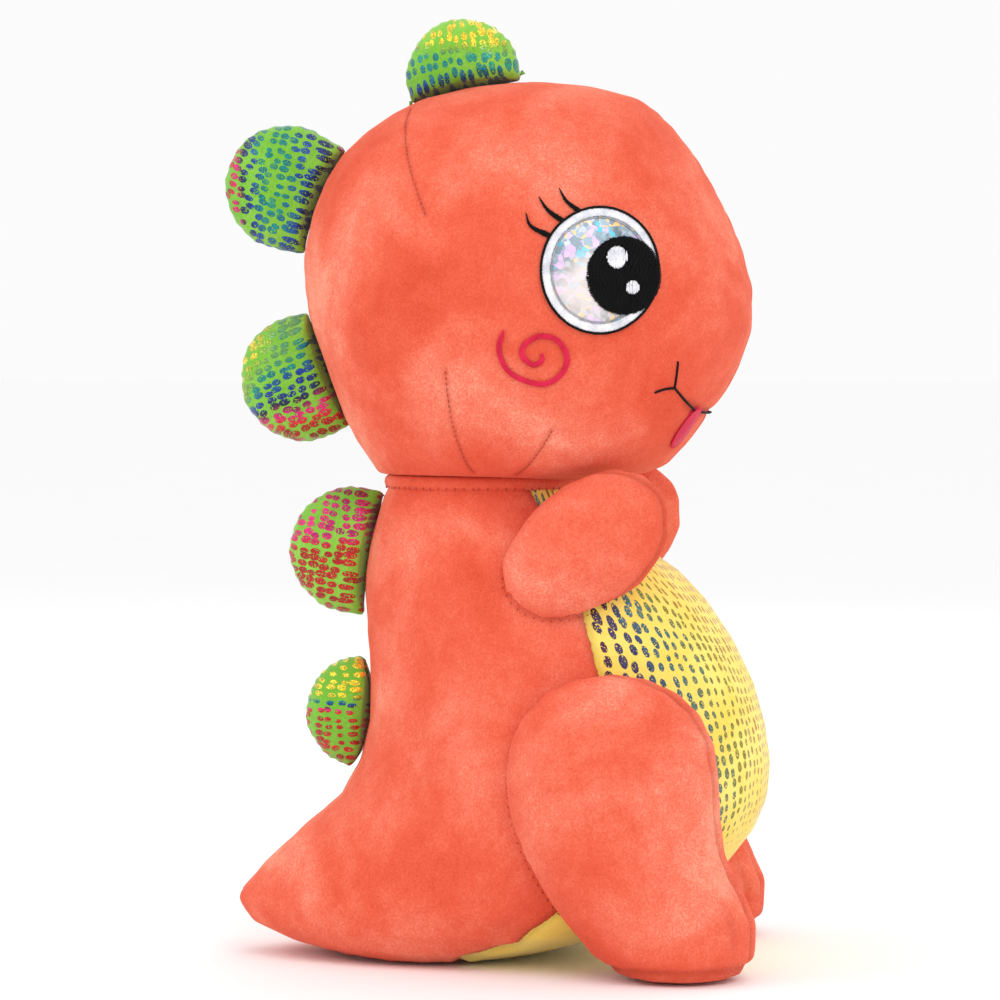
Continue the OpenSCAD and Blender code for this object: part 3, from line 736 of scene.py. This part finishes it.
lash_knots = (((-0.0217, 0.2670), (-0.0165, 0.2695), (-0.0146, 0.2743)),
              ((-0.0268, 0.2726), (-0.0224, 0.2752), (-0.0190, 0.2800)),
              ((-0.0340, 0.2757), (-0.0289, 0.2783), (-0.0260, 0.2832)))
for side_name, side in (("right", -1), ("left", 1)):
    eye, big = side_name + "_eye_", side_name.capitalize()
    low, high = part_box(eye + "outline")
    eye_y, eye_z = (low.y + high.y) / 2, (low.z + high.z) / 2
    reach_y, reach_z = (high.y - low.y) / 2, (high.z - low.z) / 2

    def on_eye(u, v, lift=0.0):
        return from_side(eye_y + u, eye_z + v, side, lift)

    def round_eye(inside):
        return oval(on_eye, reach_y - inside, reach_z - inside, 0.0009)

    patch(big + "_eye_foil", on_eye, reach_y - 0.0028, reach_z - 0.0028, 0.0006, 0.0006,
          ice, [eye + "foil"])
    patch(big + "_eye_border_base", on_eye, reach_y - 0.0004, reach_z - 0.0004, 0.0007, 0.0,
          white_thread, rings=3, inner=0.86)
    stitched(big + "_eye_border", satin(round_eye(0.0022), 0.00047, lambda t: 0.0031), white_thread,
             0.00056, "head", [eye + "rim"], looseness=0.1)
    # a thin line of painted shadow in grey thread just inside the raised white border
    stitched(big + "_eye_edging", running(round_eye(0.0042), 0.0013, 0.0017), shadow_grey_thread, 0.0006, "head")
    stitched(big + "_eye_outline", running(round_eye(0.0004), 0.0011, 0.0024, 0.22), black_thread,
             0.0009, "head", [eye + "outline"], looseness=0.1)

    low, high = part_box(eye + "pupil")
    pupil = ((low.y + high.y) / 2 - eye_y, (low.z + high.z) / 2 - eye_z)
    pupil_y, pupil_z = (high.y - low.y) / 2, (high.z - low.z) / 2
    patch(big + "_pupil_base", on_eye, pupil_y, pupil_z, 0.0013, 0.0002,
          black_thread, shift=pupil)
    stitched(big + "_pupil", filled(on_eye, 0.0017, pupil_y, pupil_z, 0.0005, 0.0042, pupil), black_thread,
             0.0006, "head", [eye + "pupil"], looseness=0.05)
    rim = oval(on_eye, pupil_y + 0.0002, pupil_z + 0.0002, 0.0014, 90, pupil)
    stitched(big + "_pupil_edge", satin(rim, 0.0006, lambda t: 0.0016), black_thread, 0.0006, "head",
             looseness=0.3)
    glints = filled(on_eye, 0.0021, 0.0035, 0.0038, 0.00045, 0.009, (pupil[0] + 0.0025, pupil[1] + 0.0063))
    glints += filled(on_eye, 0.0021, 0.0021, 0.0023, 0.00045, 0.009, (pupil[0] - 0.0028, pupil[1] - 0.0042))
    stitched(big + "_eye_glints", glints, white_thread, 0.0006, "head", [eye + "glints"],
             looseness=0.03)

    lashes = []
    for (root_y, root_z), *others in lash_knots:
        # each lash starts under the black outline
        root = (eye_y + (root_y - eye_y) * 0.93, eye_z + (root_z - eye_z) * 0.93)
        path = [from_side(y, z, side, 0.0006) for y, z in smooth_path([root, *others], 16)]
        lashes += satin(path, 0.00032, lambda t: 0.0003 + 0.0020 * (1 - t) ** 0.8)
    stitched(big + "_eyelashes", lashes, black_thread, 0.0005, "head",
             [side_name + "_eyelashes"], looseness=0.12)

# ---------------------------------------------------------------- cheek swirls, mouth, tongue and dart stitches
# The swirl is a raised satin cord of pink thread. The mouth is a thin line of black stem stitch that runs
# round the snout, turned up at each cheek, and a small pink felt tongue with a stitched edge hangs from it on
# the right.
swirl_knots = ((0.0115, 0.0090), (0.0131, 0.0017), (0.0091, -0.0061), (-0.0011, -0.0100), (-0.0079, -0.0072),
               (-0.0109, -0.0011),
               (-0.0078, 0.0053), (-0.0015, 0.0071), (0.0042, 0.0039), (0.0047, -0.0002), (0.0012, -0.0031),
               (-0.0021, -0.0015), (-0.0018, 0.0010))
swirl_y, swirl_z = -0.0185, 0.2235
for side_name, side in (("right", -1), ("left", 1)):
    path = [from_side(swirl_y + u, swirl_z + v, side, 0.0007) for u, v in smooth_path(swirl_knots, 120)]
    cord = satin(path, 0.00038, lambda t: 0.0021 * min(1, 12 * t + 0.5, 12 * (1 - t) + 0.5))
    stitched(side_name.capitalize() + "_cheek_swirl", cord, pink_thread, 0.00056, "head",
             [side_name + "_cheek_swirl"], flatness=1.9, looseness=0.04)


def from_front(x, z, lift=0.0):
    """The point of the head's skin seen square from the front."""
    hit, out, _, _ = head_skin.ray_cast(Vector((x, -0.2, z)), Vector((0, 1, 0)))
    return hit + out * lift, out


mouth = []
corner_y, corner_z = -0.0664, 0.2119
for side in (-1, 1):
    def from_corner(count, *knots):
        """A line over the cheek from the mouth's corner through knots, each so far from the corner."""
        places = smooth_path([(corner_y + u, corner_z + v) for u, v in ((0, 0), *knots)], count)
        return [from_side(y, z, side, 0.0003) for y, z in places]

    down = from_corner(10, (-0.0035, -0.0046), (-0.0068, -0.0086))
    last = down[-1][0]
    round_snout = [from_front(last.x * (1 - k / 24), last.z - 0.0006 * math.sin(math.pi / 2 * k / 24),
                              0.0003) for k in range(1, 25)]
    up, back = from_corner(8, (-0.0008, 0.0045),
                           (-0.0014, 0.0092)), from_corner(6, (0.0030, -0.0003), (0.0062, -0.0013))
    for line in (down + round_snout, up, back):
        mouth += running(line, 0.0013, 0.0023, 0.15)
# the stitching draws the cloth in, so the snout overhangs the chin a little; the drawn-in line also gets painted
# shade
press_lines(head_mesh, [[(s[0], s[2]) for s in mouth if s[0].z < corner_z - 0.006]], 0.0009, 0.0022)
stitched("Mouth_stitching", mouth, black_thread, 0.0009, "head", ["mouth_stitching"],
         looseness=0.1)

felt, tree, surface = finish_of("Pink_felt", Roughness=0.8, Sheen_Weight=0.1, Sheen_Roughness=0.5)
fuzz = noise(tree, add(tree, "TexCoord").outputs["Object"], 1600.0, 3.0)
feed(surface, Base_Color=ramp(tree, fuzz, (0.3, dye(190, 20, 60)), (0.75, dye(226, 40, 84))),
     Normal=bumped(tree, fuzz, 0.5, 0.0003))
tongue_low, tongue_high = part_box("tongue")
tongue_turn = math.radians(21)
tongue_way = Vector((-math.sin(tongue_turn), -math.cos(tongue_turn), 0))
tongue_across = Vector((math.cos(tongue_turn), -math.sin(tongue_turn), 0))
tongue_top, tongue_bottom = tongue_high.z, tongue_low.z + 0.0004
tongue_reach = (tongue_top - tongue_bottom) / 2


def on_chin(u, v, lift=0.0):
    """The point of the head's skin u beside and v above the tongue's middle."""
    start = Vector((0, head_core.y, v + (tongue_top + tongue_bottom) / 2)) + tongue_across * u
    hit, out, _, _ = head_skin.ray_cast(start + tongue_way * 0.2, -tongue_way)
    return hit + out * lift, out


patch("Tongue_felt", on_chin, 0.0045, tongue_reach, 0.0008, 0.0008, felt, ["tongue"])
rim = oval(on_chin, 0.0045, tongue_reach, 0.0008, 60)
stitched("Tongue_edge", satin(rim, 0.0005, lambda t: 0.0013), pink_thread, 0.0005, "head",
         looseness=0.1)

darts = []
for line in head_darts:
    darts += running([(p + n * 0.0001, n) for p, n in line], 0.0021, 0.0015)
stitched("Head_dart_stitches", darts, coral_thread, 0.0004, "head", looseness=0.15)

# ---------------------------------------------------------------- torso, belly and seat
# A pear-shaped body with a blunt tail in one with its two coral flank panels, a round seat of the same plush,
# and a yellow knit belly panel printed with rows of foil beads. All are sewn edge to edge and stuffed firm.
flanks = ["torso_right_panel", "torso_left_panel"]
belly_edge = edge_between(["belly_panel"], flanks + ["seat_panel"])
torso_middle = edge_between(["torso_right_panel"], ["torso_left_panel"])
seat_edge = edge_between(["seat_panel"], flanks)


def flank_middle(points):
    """The middle seam runs only up the back and round the tail, so it is far away anywhere else."""
    return np.where(belly_edge(points) > 0, torso_middle(points), 1.0)


torso_mesh = stuffed(flanks + ["belly_panel", "seat_panel", "torso_filling"],
                     [belly_edge, flank_middle, seat_edge])


def cut_along_first_seam(mesh):
    """Two meshes, split on the first seam the form was made with, each with its edge turned in as a seam
    allowance."""
    work = bmesh.new()
    work.from_mesh(mesh)
    side_of = work.verts.layers.float["first_seam"]
    for edge in list(work.edges):
        a, b = edge.verts
        if a[side_of] * b[side_of] < 0:
            share = a[side_of] / (a[side_of] - b[side_of])
            # a point close to the seam slides onto it, so that no sliver is cut off
            if share < 0.2:
                a.co, a[side_of] = a.co.lerp(b.co, share), 0
            elif share > 0.8:
                b.co, b[side_of] = a.co.lerp(b.co, share), 0
    for edge in [e for e in work.edges if e.verts[0][side_of] * e.verts[1][side_of] < 0]:
        a, b = edge.verts
        made = bmesh.utils.edge_split(edge, a, a[side_of] / (a[side_of] - b[side_of]))[1]
        made[side_of] = 0
    bmesh.ops.connect_verts(work, verts=[v for v in work.verts if v[side_of] == 0])
    work.normal_update()
    halves, allowance = [], 0.0014
    for sign in (-1, 1):
        part = mesh.copy()
        half = work.copy()
        layer = half.verts.layers.float["first_seam"]
        out_of = {tuple(v.co): v.normal.copy() for v in half.verts if v[layer] == 0}
        bmesh.ops.delete(half, geom=[f for f in half.faces if sum(v[layer] for v in f.verts) * sign < 0],
                         context="FACES")
        turned = bmesh.ops.extrude_edge_only(half, edges=[e for e in half.edges if e.is_boundary])
        for v in [g for g in turned["geom"] if isinstance(g, bmesh.types.BMVert)]:
            v.co -= out_of.get(tuple(v.co), Vector()) * allowance
        half.to_mesh(part)
        half.free()
        part.attributes.remove(part.attributes["first_seam"])
        halves.append(smoothed(part))
    work.free()
    return halves


belly_mesh, flank_mesh = cut_along_first_seam(torso_mesh)
piece("Torso_plush", flank_mesh, "torso", coral_plush,
      flanks + ["seat_panel", "torso_filling"])


def foil_cloth(name, ground, ground_light, palette, size_low, size_high, wander, slender=1.0):
    """Knit cloth printed with metal-foil beads in rows. The print follows the UV map 'Cloth', and the bead
    colours and sizes follow the attributes 'tint' and 'bead', as the foil changes colour over the piece."""
    material, tree, surface = finish_of(name, Sheen_Weight=0.25, Sheen_Roughness=0.5)
    solid = add(tree, "TexCoord").outputs["Object"]
    drift = vectors(tree, "SUBTRACT", noise(tree, solid, 55.0, 1.0).outputs["Color"], (0.5, 0.5, 0.5))
    drift = add(tree, "VectorMath", {0: drift, "Scale": 0.9}, operation="SCALE")
    cloth = vectors(tree, "ADD", add(tree, "UVMap", uv_map="Cloth"), drift)
    beads = add(tree, "TexVoronoi", {"Vector": cloth, "Scale": 1.0, "Randomness": wander},
                voronoi_dimensions="2D")
    chance = add(tree, "SeparateColor", {0: beads.outputs["Color"]})
    size = ranged(tree, noise(tree, solid, 42.0, 1.0), 0.35, 0.65, size_low, size_high)
    size = maths(tree, "MULTIPLY_ADD", chance, 0.11, size)
    size = maths(tree, "MULTIPLY", size, add(tree, "Attribute", attribute_name="bead").outputs["Fac"])
    from_middle = vectors(tree, "SUBTRACT", cloth, beads.outputs["Position"])
    from_middle = vectors(tree, "LENGTH", vectors(tree, "MULTIPLY", from_middle, (slender, 1, 0)))
    bead = ranged(tree, maths(tree, "SUBTRACT", size, from_middle.outputs["Value"]), 0.0, 0.045)
    crackle = noise(tree, solid, 1500.0, 1.0)
    foil = maths(tree, "MULTIPLY", bead, ranged(tree, crackle, 0.34, 0.4))
    tint = add(tree, "Attribute", attribute_name="tint").outputs["Fac"]
    tint = maths(tree, "MULTIPLY_ADD", chance.outputs[1], 0.07, tint)
    colours = ramp(tree, tint, *((i / (len(palette) - 1), tone) for i, tone in enumerate(palette)))
    glitter = ranged(tree, crackle, 0.4, 0.68, 0.62, 1.75)
    shiny = add(tree, "VectorMath", {0: colours, "Scale": glitter}, operation="SCALE")
    knit = noise(tree, solid, 900.0)
    wash = ranged(tree, maths(tree, "MULTIPLY_ADD", knit, 0.5, noise(tree, solid, 45.0)), 0.55, 0.95)
    # painted shade: the knit is darkened towards a deep shade of its ground colour where the 'seam' mark lies
    crease = maths(tree, "MULTIPLY", add(tree, "Attribute", attribute_name="seam").outputs["Fac"], 0.3)
    base = mixed(tree, crease, mixed(tree, wash, ground, ground_light),
                 tuple(c * 0.4 for c in ground[:3]) + (1,))
    height = maths(tree, "MULTIPLY_ADD", bead, 0.5, knit)
    feed(surface, Base_Color=mixed(tree, foil, base, shiny), Metallic=maths(tree, "MULTIPLY", foil, 0.55),
         Roughness=ranged(tree, foil, to_low=0.82, to_high=0.34), Normal=bumped(tree, height, 0.4, 0.0004))
    return material


def lay_print(mesh, spots, tints, sizes):
    """Lays a print on the mesh: a UV map 'Cloth' in beads across and along, the foil's colour as the
    attribute 'tint', and how big the beads are there as the attribute 'bead'."""
    layer = mesh.uv_layers.new(name="Cloth")
    corners = np.empty(len(mesh.loops), np.int32)
    mesh.loops.foreach_get("vertex_index", corners)
    layer.data.foreach_set("uv", np.asarray(spots, np.float32)[corners].ravel())
    mark(mesh, "tint", tints)
    mark(mesh, "bead", sizes)


def sideways_of(turns):
    """How far round to the side of the belly: 0 at its middle, 1 where the flank begins."""
    return np.minimum(1.3, np.abs(turns) / 0.95)


belly_beads = [dye(184, 14, 92), dye(112, 12, 52), dye(52, 18, 54), dye(38, 40, 84), dye(58, 104, 112),
               dye(122, 124, 40), dye(186, 134, 26), dye(142, 60, 28)]
belly_cloth = foil_cloth("Belly_foil_cloth", dye(246, 214, 78), dye(252, 232, 118), belly_beads, 0.36,
                         0.47, 0.36, 1.45)
spots = points_of(belly_mesh)
belly_low, belly_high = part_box("belly_panel")
belly_turn = np.arctan2(spots[:, 0], -(spots[:, 1] - 0.01))
sideways = sideways_of(belly_turn)
rise = (spots[:, 2] - belly_low.z) / (belly_high.z - belly_low.z)
# the bead columns stand closer together at the middle of the belly, and their beads are shorter there
turns = np.linspace(-2.4, 2.4, 400)
columns = np.cumsum(0.062 / (0.0017 + 0.0038 * sideways_of(turns) ** 2)) * (turns[1] - turns[0])
bead_column = np.interp(belly_turn, turns, columns)
bead_row = (spots[:, 2] - 0.1) / (0.0036 + 0.0034 * sideways ** 2)
belly_tint = 0.02 + 0.92 * np.maximum(0, 1 - sideways) ** 0.85 + 1.3 * np.maximum(0, rise - 0.62)
bead_size = np.clip((rise - 0.2) / 0.09, 0, 1) * (0.72 + 0.3 * np.minimum(1, sideways))
lay_print(belly_mesh, np.stack([bead_column, bead_row], 1), np.clip(belly_tint, 0.02, 0.97), bead_size)
piece("Belly_cloth", belly_mesh, "torso", belly_cloth, ["belly_panel"])

# ---------------------------------------------------------------- arms and legs
# Two small arms and two big sitting legs of coral plush, each of an outer and an inner panel sewn round the
# edge and stuffed; a leg has a flat oval sole as well. Each is hand sewn to the side of the body by a ring of
# thread.


def limb_edge(limb, level, turned):
    """The seam between a limb's outer and inner panel, which stands outwards along the front and tucks under
    along the back."""
    between = edge_between([limb + "outer_panel"], [limb + "inner_panel"])
    low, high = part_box(limb + "outer_panel")

    def field(points):
        toward_front = np.clip(((low.y + high.y) / 2 - points[:, 1]) / (high.y - low.y) * 3, -1, 1)
        return between(points) + level + turned * toward_front

    return field


for side_name, side in (("right", -1), ("left", 1)):
    arm, big = side_name + "_arm_", side_name.capitalize()
    arm_nodes = [arm + part for part in ("outer_panel", "inner_panel", "filling")]
    arm_mesh = stuffed(arm_nodes, [limb_edge(arm, 0.0002, 0.0026)], coarse=0.003, fine=0.0015, cap=0.0028)
    piece(big + "_arm_plush", arm_mesh, side_name + "_arm", coral_plush, arm_nodes)

    leg = side_name + "_leg_"
    leg_nodes = [leg + part for part in ("outer_panel", "inner_panel", "sole", "filling")]
    sole_edge = edge_between([leg + "sole"], leg_nodes[:2])
    leg_mesh = stuffed(leg_nodes, [limb_edge(leg, 0.001, 0.0042), sole_edge])
    # the cloth is gathered into short creases at the toes, above the sole, and painted shade darkens them
    leg_low, leg_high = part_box(leg + "outer_panel")
    spots = points_of(leg_mesh)
    toes = np.clip((leg_low.y + 0.017 - spots[:, 1]) / 0.015, 0,
                   1) * np.exp(-((spots[:, 2] - 0.021) / 0.011) ** 2)
    first_gather, gather_apart = (leg_low.x + leg_high.x) / 2 + side * 0.003, 0.0105
    gathers = toes * (0.5 + 0.5 * np.cos((spots[:, 0] - first_gather) * 2 * math.pi / gather_apart)) ** 4
    place_points(leg_mesh, spots - normals_of(leg_mesh) * (0.0019 * gathers)[:, None])
    # painted shade in the toe creases
    mark(leg_mesh, "seam", np.maximum(marked(leg_mesh, "seam"), 0.75 * gathers))
    piece(big + "_leg_plush", leg_mesh, side_name + "_leg", coral_plush, leg_nodes)

# ---------------------------------------------------------------- neck fold and hand sewing
# The head is sewn down on the body with a soft roll of plush caught in the crease between them. Neck, arms
# and legs are each closed by hand with a ring of ladder stitches in coral thread.


def ring_of(node, turn_axis, count=90):
    """The middle line of a closed CAD thread ring, as points in order round turn_axis (0 for X, 2 for Z),
    each with the way out from the ring's middle."""
    spots = points_of(joined(node))
    across = [a for a in range(3) if a != turn_axis]
    middle = (spots.min(0) + spots.max(0)) / 2
    angle = np.arctan2(spots[:, across[1]] - middle[across[1]], spots[:, across[0]] - middle[across[0]])
    made = []
    for k in range(count + 1):
        a = -math.pi + 2 * math.pi * (k % count) / count
        off = np.abs((angle - a + math.pi) % (2 * math.pi) - math.pi)
        near = np.argsort(off)[:max(8, len(spots) // count)]
        spot = Vector(spots[near].mean(0))
        way_out = spot - Vector(middle)
        way_out[turn_axis] = 0
        made.append((spot, way_out.normalized()))
    return made


spots, around = [], 12
neck_ring = ring_of("neck_seam_thread", 2)[:-1]
for spot, way_out in neck_ring:
    for k in range(around):
        a = 2 * math.pi * k / around
        spots.append(spot + way_out * (0.0023 * math.cos(a) - 0.0024)
                     + Vector((0, 0, 0.0017 + 0.0027 * math.sin(a))))
neck_fold = bpy.data.meshes.new("Neck_fold")
neck_fold.from_pydata(spots, [], rings_of_faces(len(neck_ring), around, closed=True))
work = bmesh.new()
work.from_mesh(neck_fold)
bmesh.ops.recalc_face_normals(work, faces=work.faces)
work.to_mesh(neck_fold)
work.free()
piece("Neck_fold", smoothed(neck_fold), "neck", coral_plush,
      bend=("torso", Vector((0, 0, 0.1745)), Vector((0, 0, 0.1795))))

limb_rings = [(which + limb, 0, "torso", 0.0008) for limb in ("_arm", "_leg") for which in ("right", "left")]
for part, turn_axis, body, inward in [("neck", 2, "neck", 0.0006), *limb_rings]:
    path = [(spot - way_out * inward, way_out) for spot, way_out in ring_of(part + "_seam_thread", turn_axis)]
    rungs = [(p, n.cross(way), n, 0.0019) for p, way, n in evenly(path, 0.0034)]
    stitched(part.capitalize() + "_ladder_stitches", rungs, coral_thread, 0.0005, body,
             [part + "_seam_thread"], looseness=0.15)

# ---------------------------------------------------------------- back spikes
# Five round puffs down the middle of the back: two discs of lime knit printed with foil beads, sewn round the
# rim, turned and stuffed, with the flat base caught in the middle seam so that each can tip a little.
skin_of = {"head": head_skin, "torso": skin_tree(flank_mesh)}
spike_beads = [dye(124, 10, 22), dye(186, 22, 30), dye(198, 26, 104), dye(30, 22, 52), dye(16, 52, 136),
               dye(12, 128, 112), dye(132, 160, 44), dye(244, 200, 48)]
spike_cloth = foil_cloth("Spike_foil_cloth", dye(106, 178, 36), dye(142, 202, 66), spike_beads,
                         0.3, 0.43, 0.5)
# bead colour of each spike: at its middle, change upwards, towards its outer rim, towards the toy's front,
# and extra at its lower and its upper end
spike_tints = ((0.68, 0.1, 0.0, 0.0, -0.2, 0.26), (0.7, 0.0, -0.75, -0.3, -0.1, 0.0),
               (0.56, 0.1, 0.42, -0.25, -0.6, 0.1),
               (0.05, 0.03, 0.0, 0.04, 0.0, 0.2), (0.06, 0.03, 0.0, 0.03, 0.0, 0.86))
joint_of = {joint["name"]: joint for joint in frame["joints"]}
for number, (tone, upward, outward, forward, lower, upper) in enumerate(spike_tints, 1):
    stem = f"spike_{number}_"
    spike_nodes = [stem + "right_half", stem + "left_half", stem + "filling"]
    hinge = joint_of[stem + "tip"]
    root, along_seam = Vector(hinge["pos_m"]), Vector(hinge["axis"]).normalized()
    rim_edge = edge_between([spike_nodes[0]], [spike_nodes[1]])
    spike_mesh = stuffed(spike_nodes, [rim_edge], coarse=0.0025, fine=0.00125, cap=0.002, groove=0.0006,
                         groove_width=0.001, tuck=0.0008)
    spots = points_of(spike_mesh)
    middle = (spots.min(0) + spots.max(0)) / 2
    away = Vector((0, along_seam.z, -along_seam.y))
    if away.dot(Vector(middle) - root) < 0:
        away = -away
    rel = spots - np.array(root)
    out_of, down_seam = rel @ np.array(away), rel @ np.array(along_seam)
    pucker = (0.0005 * np.exp(-((rim_edge(spots) / 0.003) ** 2))
              * (0.5 + 0.5 * np.cos(np.arctan2(out_of - 0.004, down_seam) * 34)))
    spots = spots - normals_of(spike_mesh) * pucker[:, None]
    # the open base of the puff is caught in the seam: it is drawn down to just under the skin it is sewn to
    base_share = np.clip(1 - out_of / 0.0065, 0, 1) ** 1.5
    skin = skin_of[hinge["parent"]]
    reach = np.array([skin.find_nearest(Vector(p))[0][:] if share > 0 else tuple(p)
                      for p, share in zip(spots, base_share)])
    sunk = reach - np.array(away) * 0.0012
    drop = ((sunk - spots) @ np.array(away)) * base_share
    spots = spots + np.array(away) * np.minimum(0, drop)[:, None]
    place_points(spike_mesh, spots)
    height, back = (spots[:, 2] - middle[2]) / 0.022, (spots[:, 1] - middle[1]) / 0.02
    tints = (tone + upward * height + outward * np.maximum(back, 0) ** 2 + forward * np.maximum(-back, 0)
             + lower * np.maximum(-height, 0) ** 2 + upper * np.clip(height * 3.5, 0, 1))
    bead_places = np.stack([down_seam / 0.0029 + np.sign(spots[:, 0]) * 0.3 + number * 7.3,
                            out_of / 0.0043], 1)
    lay_print(spike_mesh, bead_places, np.clip(tints, 0.02, 0.97), np.ones(len(spots)))
    piece(f"Spike_{number}_puff", spike_mesh, f"spike_{number}", spike_cloth,
          spike_nodes, bend=(hinge["parent"], root - away * 0.001, root + away * 0.011))

low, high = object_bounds()
